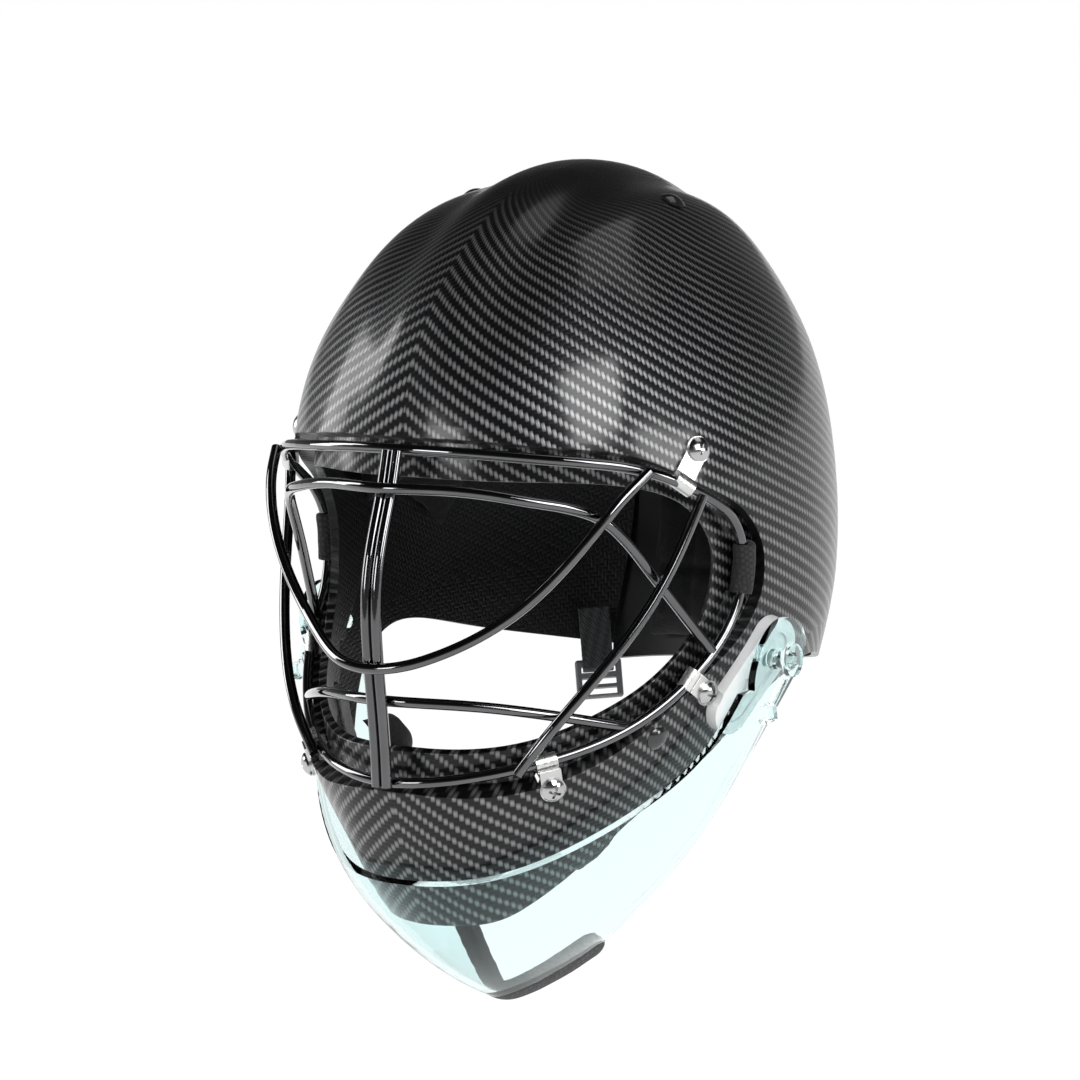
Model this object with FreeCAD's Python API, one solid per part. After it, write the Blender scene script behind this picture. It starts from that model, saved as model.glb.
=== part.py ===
import FreeCAD, Part
import math
import os

# Field goalkeeper helmet: carbon shell with a recessed face flange, welded wire
# cage held by six clips, padding, back plate and a swinging clear throat guard.
# Frame in millimetres: origin between the ears, face toward -Y, wearer's left +X.

V = FreeCAD.Vector

# ---- driving dimensions -------------------------------------------------------
TOP_Z = 155.0          # crown height above the ear plane
DOME_Z = 15.0          # height where the dome starts to close
MID_Y = 12.0           # fore-aft place of the widest section
FRONT_R = 124.5        # forward radius of the dome
SIDE_R = 107.5         # half width of the dome
REAR_R = 121.0         # rearward radius of the dome
SHELL_T = 3.0          # carbon laminate
RECESS = 8.8           # depth of the face flange below the outer skin
FLANGE_T = 3.2         # thickness of the face flange
WIRE_R = 2.15          # cage wire radius
SLEEVE_R = 5.0         # foam sleeve on the rim wire
CLIP_W = 8.6           # cage clip strap width
CLIP_T = 1.2           # cage clip strap thickness
HEAD_R = 4.8           # pan head radius
SHANK_R = 2.0          # M4 shank radius
GUARD_T = 3.0          # clear sheet thickness
PIVOT = V(0, -20, -31)  # axis point of the throat guard, axis along X
HUB = V(0, 5, -75)     # point the skin is described from, below the ears

# lower half of the shell: height, front y, half width, rear y
SKIRT = [
    (-140, -110.0, 48.0, 66.0),
    (-120, -119.5, 57.0, 74.0),
    (-107, -124.5, 66.0, 82.0),
    (-90, -129.5, 78.0, 91.0),
    (-62, -134.5, 93.5, 104.0),
    (-40, -132.0, 101.0, 115.0),
    (-15, -122.0, 106.0, 127.0),
    (15, -112.5, 107.5, 133.0),
]

# lower rim of the shell seen from the side: y, z
HEM = [(-175, -124), (-119, -121.5), (-104, -119), (-88, -107), (-66, -83), (-43, -68),
       (-10, -46), (18, -40), (50, -50), (80, -61), (105, -70), (170, -74)]

# recess outline on the skin (left half), lip at the brow first
LIP = [V(0, -106, 72), V(35, -101, 71), V(62, -88.5, 67), V(82, -70, 61), V(97, -46, 45),
       V(103.5, -27, 31), V(105.2, -17, 12), V(104.5, -18.5, -2), V(101.5, -30, -18),
       V(94.4, -52.6, -32.3), V(80.0, -77.2, -49.3), V(59, -104, -61.4), V(34.6, -124.4, -64.5),
       V(0, -134.3, -63)]

# inner edge of the face flange (left half)
EYE = [V(0, -99, 54.5), V(30, -96, 54), V(57, -84.6, 52.5), V(78, -62, 46), V(89, -42.5, 33),
       V(92, -34, 16), V(91, -35, 3), V(88.6, -41, -11), V(84.7, -51.2, -21.5),
       V(76, -68.7, -33.4), V(66.5, -84, -40), V(50, -102.8, -46.4), V(28, -118, -49),
       V(0, -124, -49)]

# cage wires (left half), centre lines
RIM = [V(0, -109.6, 68.2), V(31, -104.5, 66.8), V(61, -90.5, 62.5), V(88.4, -65.8, 53.5),
       V(98.4, -44.6, 39.6), V(100.9, -26.0, 22.0), V(100.2, -24.6, 6.5), V(99.0, -28.5, -7.0),
       V(95.6, -44.5, -23.4), V(77.5, -79.6, -46.0), V(48.0, -113.2, -55.2), V(22.0, -130.5, -58.2),
       V(0, -135.8, -59.0)]
CENTRE_BAR = [V(2.3, -114.0, 68.6), V(2.3, -121.6, 50.6), V(2.3, -132.4, 29.7),
              V(2.3, -137.6, 9.0), V(2.3, -138.6, -15.0), V(2.3, -138.8, -41.0),
              V(2.3, -140.1, -59.4)]
EYE_ARC = [V(0, -142.9, -11.6), V(13, -140.6, -10.6), V(29.5, -130.0, -5.8), V(46, -117.6, 2.8),
           V(63, -106.0, 17.6), V(78.6, -90.6, 38.6), V(88.8, -69.9, 55.0)]
BROW_BAR = [V(0, -126.3, 56.6), V(26, -117.8, 55.3), V(46, -108.6, 51.6), V(62, -97.4, 46.4),
            V(71.5, -87.6, 42.2), V(77.4, -78.6, 33.5), V(80.8, -71.5, 22.5),
            V(86.6, -60.4, 4.0), V(95.4, -44.6, -22.6)]
SIDE_BAR = [V(98.8, -48.4, 41.4), V(94.8, -57.4, 25.5), V(90.2, -68.4, 9.6),
            V(76.4, -92.6, -18.0), V(62.4, -109.4, -38.0), V(48.4, -117.2, -56.4)]
LOWER_BAR = [V(0, -134.0, -26.4), V(33, -120.6, -29.6), V(56, -102.6, -36.2),
             V(77.6, -78.4, -46.2)]

# cage clips (left half): screw place, wire place
CLIPS = [("temple", V(94.5, -43.5, 58.5), V(93.8, -54.8, 47.2)),
         ("cheek", V(95.4, -50.2, -37.4), V(90.4, -55.4, -31.6)),
         ("chin", V(55.6, -104.2, -64.4), V(54.6, -106.6, -54.0))]

# throat guard edges (left half) from the middle to the ear: upper edge, lower edge
GUARD_TOP = [V(0, -134, -101), V(28, -126.5, -100.5), V(52, -108, -95), V(72, -86, -84.5),
             V(92, -58, -66.5), V(106, -43, -42), V(112, -34, -24), V(113.5, -31, -8)]
GUARD_LOW = [V(0, -73, -168), V(15, -62, -163), V(30, -50, -153), V(45, -43, -139),
             V(66, -28, -114), V(90, -16, -76), V(106, -6, -46), V(112, 1, -22)]
GUARD_BOW = [9.8, 9.8, 9.0, 7.6, 5.6, 3.5, 1.5, 0.5]


# ---- small numeric helpers -----------------------------------------------------
def glide(table, column, z):
    """Monotone cubic reading of one column of a (z, ...) table."""
    z = min(max(z, table[0][0]), table[-1][0])
    k = 0
    while z > table[k + 1][0]:
        k += 1
    slopes = [(table[i + 1][column] - table[i][column]) / (table[i + 1][0] - table[i][0])
              for i in range(len(table) - 1)]

    def tangent(i):
        if i == 0:
            return slopes[0]
        if i == len(table) - 1:
            return 0.0
        a, b = slopes[i - 1], slopes[i]
        return 0.0 if a * b <= 0 else 2 * a * b / (a + b)

    h = table[k + 1][0] - table[k][0]
    t = (z - table[k][0]) / h
    a, b = table[k][column], table[k + 1][column]
    m0, m1 = tangent(k) * h, tangent(k + 1) * h
    return ((2 * t**3 - 3 * t**2 + 1) * a + (t**3 - 2 * t**2 + t) * m0
            + (3 * t**2 - 2 * t**3) * b + (t**3 - t**2) * m1)


def bump(value, centre, width):
    """Smooth hill of height one."""
    return math.exp(-((value - centre) / width) ** 2)


def ramp(value, start, stop):
    """Smooth step from nought at start to one at stop."""
    t = min(max((value - start) / (stop - start), 0.0), 1.0)
    return t * t * (3 - 2 * t)


def girth(z):
    """Forward radius, half width and rearward radius of the section at z."""
    if z <= DOME_Z:
        return MID_Y - glide(SKIRT, 1, z), glide(SKIRT, 2, z), glide(SKIRT, 3, z) - MID_Y
    t = min((z - DOME_Z) / (TOP_Z - DOME_Z), 0.999999)
    return (FRONT_R * (1 - t**3.0) ** (1 / 1.45), SIDE_R * (1 - t**2.6) ** (1 / 1.62),
            REAR_R * (1 - t**3.0) ** (1 / 1.95))


def level(p):
    """Section-wise superellipse value: one on the plain skin, less inside it."""
    if p.z >= TOP_Z:
        return 2.0 + p.z - TOP_Z
    fore, half, aft = girth(p.z)
    power, reach = (1.75, aft) if p.y > MID_Y else (2.15, fore)
    return ((abs(p.x) / half) ** power + (abs(p.y - MID_Y) / reach) ** power) ** (1 / power)


def relief(p):
    """Height of the raised crest, side ridges, chin facet and temple hollow."""
    crown = ramp(p.z, 70, 112)
    rise = 3.2 * crown * (1 - ramp(abs(p.x), 13, 21))
    rise += 4.2 * ramp(p.z, 92, 136) * bump(abs(p.x), 49, 15)
    rise -= 2.4 * bump(abs(p.x), 88, 9) * bump(p.z, 70, 26) * ramp(-p.y, -30, 10)
    chin = ramp(-p.z, 66, 84) * ramp(-p.y, 20, 60)
    rise += 2.0 * chin * bump(abs(p.x), 24, 6)
    return rise


def skin_point(theta, beta, shaped=True):
    """Point of the outer skin on the ray that leaves the hub at these angles."""
    ray = V(math.sin(beta), -math.cos(beta) * math.cos(theta), math.cos(beta) * math.sin(theta))
    low, high = 5.0, 330.0
    for _ in range(34):
        mid = 0.5 * (low + high)
        if level(HUB + ray * mid) < 1.0:
            low = mid
        else:
            high = mid
    p = HUB + ray * low
    return p + ray * relief(p) if shaped else p


def spread(u, theta):
    """Side angle for the sideways fraction u, finer near the middle of the crown."""
    reach = 215.0 * max(math.sin(theta), 0.0) ** 2 + 120.0 * (1 - max(math.sin(theta), 0.0) ** 2)
    k = 118.0 / reach
    return math.radians(76.0) * (k * u + (1 - k) * u ** 3)


def skin_normal(theta, u, shaped=True):
    """Outward unit normal of the skin."""
    step = 0.01
    a = skin_point(theta + step, spread(u, theta + step), shaped)
    b = skin_point(theta - step, spread(u, theta - step), shaped)
    c = skin_point(theta, spread(u + step, theta), shaped)
    d = skin_point(theta, spread(u - step, theta), shaped)
    n = (c - d).cross(a - b)
    n.normalize()
    return n if n.dot(skin_point(theta, spread(u, theta)) - HUB) > 0 else n * -1


def skin_net(thetas, us, shaped=True):
    """Skin points and normals on a net of angles; shaped keeps the raised relief."""
    return [[(skin_point(t, spread(u, t), shaped), skin_normal(t, u, shaped)) for u in us]
            for t in thetas]


def sunk(net, depth):
    """Net points moved inward by depth, a number or a function of row and column."""
    reach = depth if callable(depth) else (lambda i, j: depth)
    return [[p - n * reach(i, j) for j, (p, n) in enumerate(row)] for i, row in enumerate(net)]


def steps(start, stop, count):
    """Evenly spaced values, both ends included."""
    return [start + (stop - start) * i / (count - 1) for i in range(count)]


# ---- solid builders --------------------------------------------------------------
def tighten(rows):
    """Inner rows pushed outward so that a cubic drawn by them keeps its full girth."""
    inner = [[(b * 8 - a - c) * (1 / 6) for a, b, c in zip(*three)]
             for three in zip(rows, rows[1:], rows[2:])]
    return [rows[0]] + inner + [rows[-1]]


def soft_surface(net):
    """Smooth cubic surface close to a net of points, clamped at its borders."""
    net = tighten([list(row) for row in zip(*tighten(net))])
    net = [list(row) for row in zip(*net)]
    rows, columns = len(net), len(net[0])
    surface = Part.BSplineSurface()
    surface.buildFromPolesMultsKnots(
        net, [4] + [1] * (rows - 4) + [4], [4] + [1] * (columns - 4) + [4],
        [float(i) for i in range(rows - 2)], [float(i) for i in range(columns - 2)],
        False, False, 3, 3)
    return surface


def fair_surface(net):
    """Cubic surface passing through a net of points."""
    surface = Part.BSplineSurface()
    surface.interpolate(net)
    return surface


def slab(outer, inner, make=soft_surface):
    """Closed solid between two point nets with the same number of rows."""
    faces, borders = [], []
    for surface in (make(outer), make(inner)):
        u0, u1, v0, v1 = surface.bounds()
        faces.append(surface.toShape())
        borders.append([surface.uIso(u0), surface.uIso(u1), surface.vIso(v0), surface.vIso(v1)])
    for a, b in zip(borders[0], borders[1]):
        faces.append(Part.makeRuledSurface(a.toShape(), b.toShape()))
    hull = Part.Shell(faces)
    hull.sewShape()
    solid = Part.Solid(hull)
    if solid.Volume < 0:
        solid.reverse()
    return solid


def spline(points, closed=False):
    """Edge through the points."""
    curve = Part.BSplineCurve()
    curve.interpolate(Points=points, PeriodicFlag=closed)
    return curve.toShape()


def mirror(shape):
    """Copy on the wearer's right."""
    return shape.mirror(V(0, 0, 0), V(1, 0, 0))


def flip(p):
    """Point on the wearer's right."""
    return V(-p.x, p.y, p.z)


def both(points):
    """Half line made whole: right side, middle, left side."""
    return [flip(p) for p in reversed(points[1:])] + points


def bend(before, corner, after):
    """Tangent arc that rounds one corner of a run of wire."""
    first, second = before - corner, after - corner
    trim = 0.49 * min(first.Length, second.Length)
    first.normalize()
    second.normalize()
    middle = first + second
    middle.normalize()
    cosine = middle.dot(first)
    radius = trim * math.sqrt(1 - cosine ** 2) / cosine
    crest = corner + middle * (trim / cosine - radius)
    return corner + first * trim, crest, corner + second * trim


def tube(points, radius, closed=False, pitch=15.0):
    """Round rod along a smooth line: short straight runs joined by tangent arcs."""
    line = Part.BSplineCurve()
    line.interpolate(Points=points, PeriodicFlag=closed)
    count = max(4, 2 * round(line.length() / pitch / 2))
    marks = line.discretize(Number=count + 1)
    if closed:
        marks = marks[:-1]
        corners = [(marks[k - 1], marks[k], marks[(k + 1) % count]) for k in range(count)]
    else:
        corners = list(zip(marks, marks[1:], marks[2:]))
    arcs = [bend(*corner) for corner in corners]
    edges, end = [], arcs[-1][2] if closed else marks[0]
    for start, crest, stop in arcs:
        edges.append(Part.makeLine(end, start))
        edges.append(Part.Arc(start, crest, stop).toShape())
        end = stop
    if not closed:
        edges.append(Part.makeLine(end, marks[-1]))
    if closed:
        half = len(edges) // 2
        return sweep(edges[:half], radius).fuse(sweep(edges[half:], radius))
    return sweep(edges, radius)


def sweep(edges, radius):
    """Round rod along joined edges."""
    foot = edges[0].valueAt(edges[0].FirstParameter)
    ring = Part.makeCircle(radius, foot, edges[0].tangentAt(edges[0].FirstParameter))
    return Part.Wire(edges).makePipe(Part.Face(Part.Wire([ring])))


def peg(base, along, radius, length, start=0.0):
    """Cylinder from a base point along a direction."""
    return Part.makeCylinder(radius, length, base + along * start, along)


def local_frame(origin, normal, toward):
    """Placement with z along the normal and x leaning to a second point."""
    x_axis = toward - normal * toward.dot(normal)
    x_axis.normalize()
    y_axis = normal.cross(x_axis)
    return FreeCAD.Placement(FreeCAD.Matrix(
        x_axis.x, y_axis.x, normal.x, origin.x, x_axis.y, y_axis.y, normal.y, origin.y,
        x_axis.z, y_axis.z, normal.z, origin.z, 0, 0, 0, 1))


def seat(place):
    """Foot of a nearby point on the outer skin and the normal there."""
    ray = place - HUB
    ray.normalize()
    beta = math.asin(ray.x)
    theta = math.atan2(ray.z, -ray.y)
    low, high = -1.2, 1.2
    for _ in range(40):
        mid = 0.5 * (low + high)
        if spread(mid, theta) < beta:
            low = mid
        else:
            high = mid
    return skin_point(theta, beta), skin_normal(theta, low)


# ---- shell ---------------------------------------------------------------------
def aperture(half_outline, grow):
    """Tapered plug through the face, its mouth passing through the outline."""
    apex = V(0, 60, 3)
    mouth = []
    for p in half_outline:
        t = 300.0 / (apex.y - p.y)
        mouth.append(apex + (p - apex) * t)
    heart = V(0, mouth[0].y, 0.5 * (mouth[0].z + mouth[-1].z))
    grown = []
    for p in mouth:
        arm = p - heart
        arm.multiply(1 + grow / arm.Length)
        grown.append(heart + arm)
    loop = [flip(p) for p in reversed(grown[1:-1])] + grown
    near = [apex + (p - apex) * 0.06 for p in loop]
    rings = [Part.Wire([spline(near, True)]), Part.Wire([spline(loop, True)])]
    return Part.makeLoft(rings, True, True)


def hem_tool():
    """Everything below the lower rim."""
    rim = [V(-200, y, z) for y, z in HEM]
    edge = spline(rim)
    floor = Part.makePolygon([rim[-1], V(-200, 170, -260), V(-200, -175, -260), rim[0]])
    return Part.Face(Part.Wire([edge] + floor.Edges)).extrude(V(400, 0, 0))


def make_shell(net):
    """Carbon shell with the recessed face flange, rear cut-out and screw holes."""
    skin = sunk(net, 0.0)
    laminate = slab(skin, sunk(net, SHELL_T))
    deep = slab(skin, sunk(net, RECESS + FLANGE_T))
    pocket = slab(sunk(net, -7.0), sunk(net, RECESS))
    outer, lip, eye = aperture(LIP, 10.5), aperture(LIP, 0.0), aperture(EYE, 0.0)
    face = deep.common(outer).cut(eye).cut(pocket.common(lip))
    body = laminate.cut([outer, hem_tool(), rear_window()])
    return body.fuse(face)


def rear_window():
    """Opening behind the head that the back plate covers."""
    block = Part.makeBox(76, 90, 140, V(-38, 70, -96))
    upright = [e for e in block.Edges if abs(e.Vertexes[0].Point.y - e.Vertexes[1].Point.y) > 50]
    return block.makeFillet(16, upright)


# ---- cage ----------------------------------------------------------------------
def make_rim():
    """Closed rim wire."""
    return tube(RIM + [flip(p) for p in reversed(RIM[1:-1])], WIRE_R, True)


def make_cage():
    """Welded wires: every later wire is coped onto the ones before it."""
    rim = make_rim()
    bars = [tube(CENTRE_BAR, WIRE_R), mirror(tube(CENTRE_BAR, WIRE_R))]
    brow = tube(both(BROW_BAR), WIRE_R)
    arc = tube(both(EYE_ARC), WIRE_R)
    side = tube(SIDE_BAR, WIRE_R)
    lower = tube(both(LOWER_BAR), WIRE_R)
    bars = [largest(b.cut(rim)) for b in bars]
    arc = largest(arc.cut([rim] + bars))
    side = largest(side.cut([rim, arc]))
    brow = largest(brow.cut([rim, arc, side, mirror(side)] + bars))
    lower = largest(lower.cut([rim, side, mirror(side)] + bars))
    return {
        "cage_rim_wire": rim,
        "cage_centre_bars": Part.makeCompound(bars),
        "cage_brow_bar": brow,
        "cage_eye_arc": arc,
        "cage_side_bar_left": side,
        "cage_side_bar_right": mirror(side),
        "cage_lower_bar": lower,
    }


def largest(shape):
    """Main solid of a cut."""
    return max(shape.Solids, key=lambda s: s.Volume)


def make_sleeve(rim):
    """Foam sleeve around the rim wire beside the cheek."""
    line = [V(100.9, -24.0, 17.2), V(100.2, -24.6, 6.5), V(99.4, -27.3, -3.6)]
    return largest(tube(line, SLEEVE_R).cut(rim))


# ---- fasteners -----------------------------------------------------------------
def cross_recess(depth):
    """Cross slot seen on a screw head, local z up from nought."""
    a = Part.makeBox(5.0, 1.1, depth, V(-2.5, -0.55, 0))
    b = Part.makeBox(1.1, 5.0, depth, V(-0.55, -2.5, 0))
    return a.fuse(b)


def pan_screw(foot, normal, lift, length):
    """Pan head screw standing on the skin at foot, shank running inward."""
    sphere_r = 6.4
    ball = Part.makeSphere(sphere_r, V(0, 0, 3.1 - sphere_r))
    head = Part.makeCylinder(HEAD_R, 3.4).common(ball)
    head = head.cut(cross_recess(3.0).translated(V(0, 0, 1.5)))
    screw = head.fuse(Part.makeCylinder(SHANK_R, length, V(0, 0, -length)))
    screw.Placement = local_frame(foot + normal * lift, normal, V(0.2, 0.3, 1))
    return screw


def hex_nut(foot, normal, depth):
    """Nut pressed against the inside of the laminate."""
    ring = [V(4.0 * math.cos(math.radians(60 * k)), 4.0 * math.sin(math.radians(60 * k)), 0)
            for k in range(7)]
    nut = Part.Face(Part.makePolygon(ring)).extrude(V(0, 0, -3.2))
    nut = nut.cut(Part.makeCylinder(SHANK_R, 5, V(0, 0, -4)))
    nut.Placement = local_frame(foot - normal * depth, normal, V(0.2, 0.3, 1))
    return nut


def dome_stud(foot, normal, lift, radius):
    """Smooth domed rivet head with its post."""
    ball_r = radius * 1.45
    drop = math.sqrt(ball_r ** 2 - radius ** 2)
    head = Part.makeSphere(ball_r, V(0, 0, -drop)).common(Part.makeCylinder(radius + 1, 9))
    stud = head.fuse(Part.makeCylinder(2.4, 6.6, V(0, 0, -6.6)))
    stud.Placement = local_frame(foot + normal * lift, normal, V(0.2, 0.3, 1))
    return stud


def washer(foot, normal, depth, radius, thick):
    """Flat inner washer of a rivet."""
    disc = Part.makeCylinder(radius, thick, V(0, 0, -thick))
    disc = disc.cut(Part.makeCylinder(2.4, 9, V(0, 0, -8)))
    disc.Placement = local_frame(foot - normal * depth, normal, V(0.2, 0.3, 1))
    return disc


def j_clip(screw_at, wire_at, rim):
    """Steel strap, its tab under the screw, rolled over the rim wire, and the room it needs."""
    foot, normal = seat(screw_at)
    frame = local_frame(foot + normal * 0.15, normal, wire_at - foot)
    hook = frame.inverse().multVec(wire_at)
    length, height = math.hypot(hook.x, hook.y), hook.z
    inner, outer = WIRE_R + 0.2, WIRE_R + 0.2 + CLIP_T
    tab = Part.makeBox(length - inner * 0.4, CLIP_W, CLIP_T, V(0, -CLIP_W / 2, 0))
    tab = tab.fuse(Part.makeCylinder(CLIP_W / 2 + 0.9, CLIP_T))
    along = V(0, 1, 0)
    roll = Part.makeCylinder(outer, CLIP_W, V(length, -CLIP_W / 2, height), along)
    riser = Part.makeBox(CLIP_T, CLIP_W, abs(height) + 0.01, V(
        length - outer, -CLIP_W / 2, min(0.0, height)))
    strap = tab.fuse([roll, riser])
    strap = strap.cut(Part.makeCylinder(inner, CLIP_W + 4, V(length, -CLIP_W / 2 - 2, height), along))
    below = Part.makeBox(30, 30, 30, V(length - inner * 0.3, -15, height - 30.6))
    strap = strap.cut(below)
    strap = strap.cut(Part.makeCylinder(SHANK_R + 0.2, 20, V(0, 0, -10)))
    room = Part.makeCylinder(outer + 0.35, CLIP_W + 0.8, V(length, -CLIP_W / 2 - 0.4, height), along)
    room = room.fuse(Part.makeBox(outer, CLIP_W + 0.8, 0.35 + abs(height), V(
        length - outer - 0.35, -CLIP_W / 2 - 0.4, min(0.0, height))))
    room = room.cut(Part.makeBox(30, 30, 30, V(length, -15, -15)))
    strap.Placement = room.Placement = frame
    return largest(strap.cut(rim)), room


# ---- padding -------------------------------------------------------------------
def cushion(theta_range, u_range, top, bottom, puff=0.55, rows=8):
    """Closed soft pad lying under the skin between two depths, rounded at its borders."""
    thetas = steps(math.radians(theta_range[0]), math.radians(theta_range[1]), rows)
    us = steps(u_range[0], u_range[1], rows)
    net = skin_net(thetas, us, False)
    last = rows - 1

    def swell(i, j):
        return (1 - abs(2 * i / last - 1) ** 6) * (1 - abs(2 * j / last - 1) ** 6)

    def back(i, j):
        return top + (bottom - top) * (1 - puff * (1 - swell(i, j)))

    return slab(sunk(net, top), sunk(net, back))


# ---- throat guard ----------------------------------------------------------------
def guard_net(inset):
    """Net of the clear sheet, moved inward by inset."""
    top, low = both(GUARD_TOP), both(GUARD_LOW)
    bow = list(reversed(GUARD_BOW[1:])) + GUARD_BOW
    rows = []
    for f in (0.0, 0.25, 0.5, 0.75, 1.0):
        row = []
        for a, b, c in zip(top, low, bow):
            p = a + (b - a) * f
            out = V(p.x, p.y + 20, 0)
            out.normalize()
            row.append(p + (out + V(0, 0, -0.35)) * (c * 4 * f * (1 - f)))
        rows.append(row)
    return [[p - n * inset for p, n in zip(row, normals)]
            for row, normals in zip(rows, net_normals(rows))]


def net_normals(rows):
    """Outward normals of a point net by central differences."""
    last_i, last_j = len(rows) - 1, len(rows[0]) - 1
    result = []
    for i, row in enumerate(rows):
        line = []
        for j, p in enumerate(row):
            down = rows[min(i + 1, last_i)][j] - rows[max(i - 1, 0)][j]
            side = row[min(j + 1, last_j)] - row[max(j - 1, 0)]
            n = down.cross(side)
            n.normalize()
            line.append(n if n.dot(V(p.x, p.y + 20, -1)) > 0 else n * -1)
        result.append(line)
    return result


def make_guard():
    """Clear sheet with two rounded ears bored for the pegs."""
    sheet = slab(guard_net(0.0), guard_net(GUARD_T), fair_surface)
    ears = Part.makeCylinder(19, 300, V(-150, PIVOT.y + 2, PIVOT.z - 3), V(1, 0, 0))
    bib = Part.makeBox(300, 260, 160, V(-150, -200, -200))
    sheet = sheet.common(ears.fuse(bib))
    return sheet.cut(Part.makeCylinder(3.98, 300, V(-150, PIVOT.y, PIVOT.z), V(1, 0, 0)))


def make_edging(guard):
    """Foam bead along the lower edge of the clear sheet."""
    low = both(GUARD_LOW[:4])
    line = [p + V(0, 1.2, 2.0) for p in low]
    return largest(tube(line, 4.2).cut(guard))


def stadium(length, radius, thick):
    """Rounded bar lying along local x."""
    core = Part.makeBox(length, 2 * radius, thick, V(-length / 2, -radius, 0))
    ends = [Part.makeCylinder(radius, thick, V(s * length / 2, 0, 0)) for s in (-1, 1)]
    return core.fuse(ends).removeSplitter()


def make_mount_plate(core, clip_seat):
    """Grey pad on the jaw carrying the guard, its back fitted to the skin and clear of the clip."""
    foot, normal = seat(V(99, -26.5, -36))
    frame = local_frame(foot - normal * 6.0, normal, V(0, -0.70, -0.71))
    plate = stadium(31, 10.5, 10.0)
    plate = plate.cut(stadium(27, 7.0, 3.0).translated(V(0, 0, 9.0)))
    slot = stadium(9, 2.2, 4.0).translated(V(8.5, 0, 7.2))
    plate = plate.cut(slot)
    plate.Placement = frame
    plate = plate.cut(core)
    bore = Part.makeCylinder(3.2, 60, V(85, PIVOT.y, PIVOT.z), V(1, 0, 0))
    brow = Part.makeBox(20, 120, 120, V(109.0, -80, -90))
    return largest(plate.cut([bore, brow, peg(*clip_seat, 5.7, 30, -12)]))


def make_peg():
    """Clear pivot boss standing in the mount plate and passing through the ear."""
    axis = V(1, 0, 0)
    spot = V(0, PIVOT.y, PIVOT.z)
    shaft = Part.makeCylinder(3.9, 10.6, spot + V(105.8, 0, 0), axis)
    root = Part.makeCylinder(3.0, 9.8, spot + V(97.5, 0, 0), axis)
    cap = Part.makeCylinder(6.6, 2.2, spot + V(115.6, 0, 0), axis)
    return shaft.fuse([root, cap])


def make_latch():
    """Clear stay on the ear: rod and hook block below the pivot."""
    rod = tube([V(115.4, -24.5, -37.5), V(114.6, -29, -42), V(113.6, -33, -46)], 1.6)
    block = Part.makeBox(5.0, 8.0, 7.0, V(110.6, -39.5, -52.5))
    return rod.fuse(block.makeFillet(1.0, block.Edges))


# ---- harness ---------------------------------------------------------------------
def ribbon(centres, across, width, thick):
    """Flat webbing through centre points; across gives the width direction of each."""
    outer, inner = [], []
    for k, (c, a) in enumerate(zip(centres, across)):
        nxt, prv = centres[min(k + 1, len(centres) - 1)], centres[max(k - 1, 0)]
        a = V(a)
        a.normalize()
        n = (nxt - prv).cross(a)
        n.normalize()
        outer.append([c + a * (width * s) + n * (thick / 2) for s in (-0.5, -0.17, 0.17, 0.5)])
        inner.append([c + a * (width * s) - n * (thick / 2) for s in (-0.5, -0.17, 0.17, 0.5)])
    return slab(outer, inner)


def make_chin_strap():
    """Webbing from the jaw stud down to the chin cup."""
    centres = [V(73.1, -62.1, -48.0), V(71.5, -63.7, -57.0), V(64.8, -66.8, -74.0),
               V(54.0, -69.0, -92.0), V(42.5, -70.0, -104.0), V(33.5, -70.5, -110.0)]
    across = [V(-0.35, -0.9, 0.25)] * 3 + [V(-0.4, -0.85, 0.3), V(-0.45, -0.8, 0.3), V(-0.5, -0.8, 0.25)]
    return ribbon(centres, across, 15.0, 1.8)


def make_chin_cup():
    """Moulded cup under the chin."""
    rows_out, rows_in = [], []
    for a in steps(-1.0, 1.0, 9):
        line_out, line_in = [], []
        for b in steps(-1.0, 1.0, 7):
            p = V(31.5 * a, -70.0 - 9.0 * (1 - a * a) + 14.0 * b, -112.0 - 4.0 * (1 - a * a) + 2.0 * a * a
                  + 7.0 * (b * b - 0.5) * (1 if b < 0 else 0.35))
            line_out.append(p + V(0, 0, -1.6))
            line_in.append(p + V(0, 0, 1.6))
        rows_out.append(line_out)
        rows_in.append(line_in)
    return slab(rows_out, rows_in)


def hem_frame():
    """Frame on the left rear hem: x up along the skin, y across, z outward."""
    foot, normal = seat(V(45, 86, -64))
    return local_frame(foot, normal, V(0, 0, 1))


def make_buckle():
    """Ladder-lock buckle hanging just below the rear hem."""
    body = Part.makeBox(17, 20, 4.0, V(-25.5, -10, -6.5))
    body = body.makeFillet(1.4, body.Edges)
    for x in (-14.4, -19.6, -23.9):
        body = body.cut(Part.makeBox(2.8, 14.6, 12, V(x, -7.3, -10)))
    body.Placement = hem_frame()
    return body


def make_buckle_tab():
    """Webbing tab riveted inside the hem and looped through the top bar of the buckle."""
    inner = Part.makeBox(27.8, 13.8, 1.5, V(-13.6, -6.9, -8.2))
    turn = Part.makeBox(1.5, 13.8, 7.4, V(-13.6, -6.9, -8.2))
    outer = Part.makeBox(5.2, 13.8, 1.5, V(-13.6, -6.9, -2.3))
    tab = inner.fuse([turn, outer]).removeSplitter()
    tab.Placement = hem_frame()
    return tab


# ---- whole helmet ----------------------------------------------------------------
def export(name, shape):
    """One STEP file for one node."""
    shape.exportStep(os.path.join("parts", name + ".step"))


def drill(shape, spots, radius):
    """Bore every (foot, normal) spot through a shape."""
    tools = [peg(foot, normal, radius, 40, -20) for foot, normal in spots]
    return shape.cut(tools)


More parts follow.
